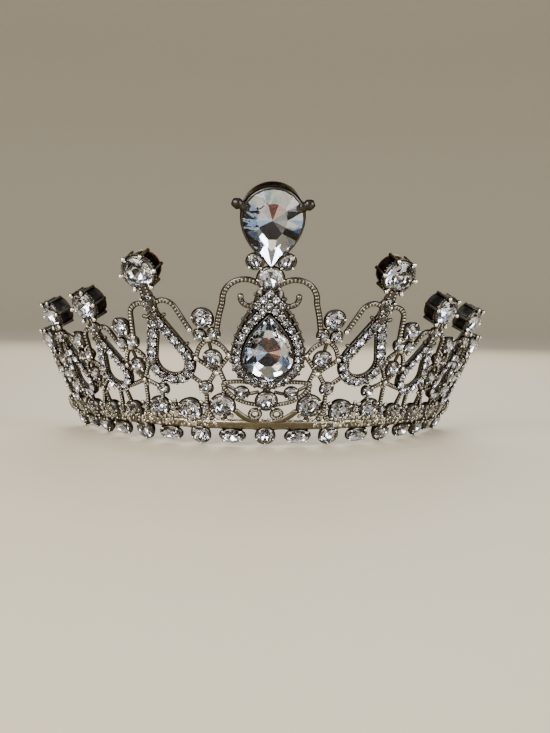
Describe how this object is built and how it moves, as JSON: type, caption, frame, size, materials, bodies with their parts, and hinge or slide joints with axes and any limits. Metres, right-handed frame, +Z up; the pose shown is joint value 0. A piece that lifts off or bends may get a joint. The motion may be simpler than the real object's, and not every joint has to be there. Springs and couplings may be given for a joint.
{
  "type": "rhinestone tiara",
  "caption": "Flared openwork tiara rising to a tall centre, its pointed metal frame set with pear, round and oval faceted stones above a beaded base band.",
  "frame": {"origin": "on the plane that the tiara rests on, under the middle stone of the base row", "axes": "+Z up, the front of the tiara faces -Y, +X runs across it from end to end"},
  "size_m": [0.1366, 0.0786, 0.0676],
  "materials": {
    "metal": "antiqued cast white metal: dark gunmetal in the recesses, worn to pale pewter on beads and edges",
    "crystal": "clear faceted crystal backed with mirror foil"
  },
  "bodies": {
    "root": {"frame": "metal", "upper_pear": "crystal", "lower_pear": "crystal", "neck_stone": "crystal", "drop_stone": "crystal", "peak_stone_l1": "crystal", "peak_stone_l2": "crystal", "peak_stone_l3": "crystal", "peak_stone_l4": "crystal", "peak_stone_r1": "crystal", "peak_stone_r2": "crystal", "peak_stone_r3": "crystal", "peak_stone_r4": "crystal", "valley_stone_l1": "crystal", "valley_stone_l2": "crystal", "valley_stone_l3": "crystal", "valley_stone_l4": "crystal", "valley_stone_r1": "crystal", "valley_stone_r2": "crystal", "valley_stone_r3": "crystal", "valley_stone_r4": "crystal", "lattice_stone_l1": "crystal", "lattice_stone_r1": "crystal", "row_stone_l1": "crystal", "row_stone_l2": "crystal", "row_stone_l3": "crystal", "row_stone_l4": "crystal", "row_stone_l5": "crystal", "row_stone_l6": "crystal", "row_stone_l7": "crystal", "row_stone_l8": "crystal", "row_stone_r1": "crystal", "row_stone_r2": "crystal", "row_stone_r3": "crystal", "row_stone_r4": "crystal", "row_stone_r5": "crystal", "row_stone_r6": "crystal", "row_stone_r7": "crystal", "row_stone_r8": "crystal", "base_stones": "crystal", "small_stones": "crystal"}
  },
  "joints": []
}
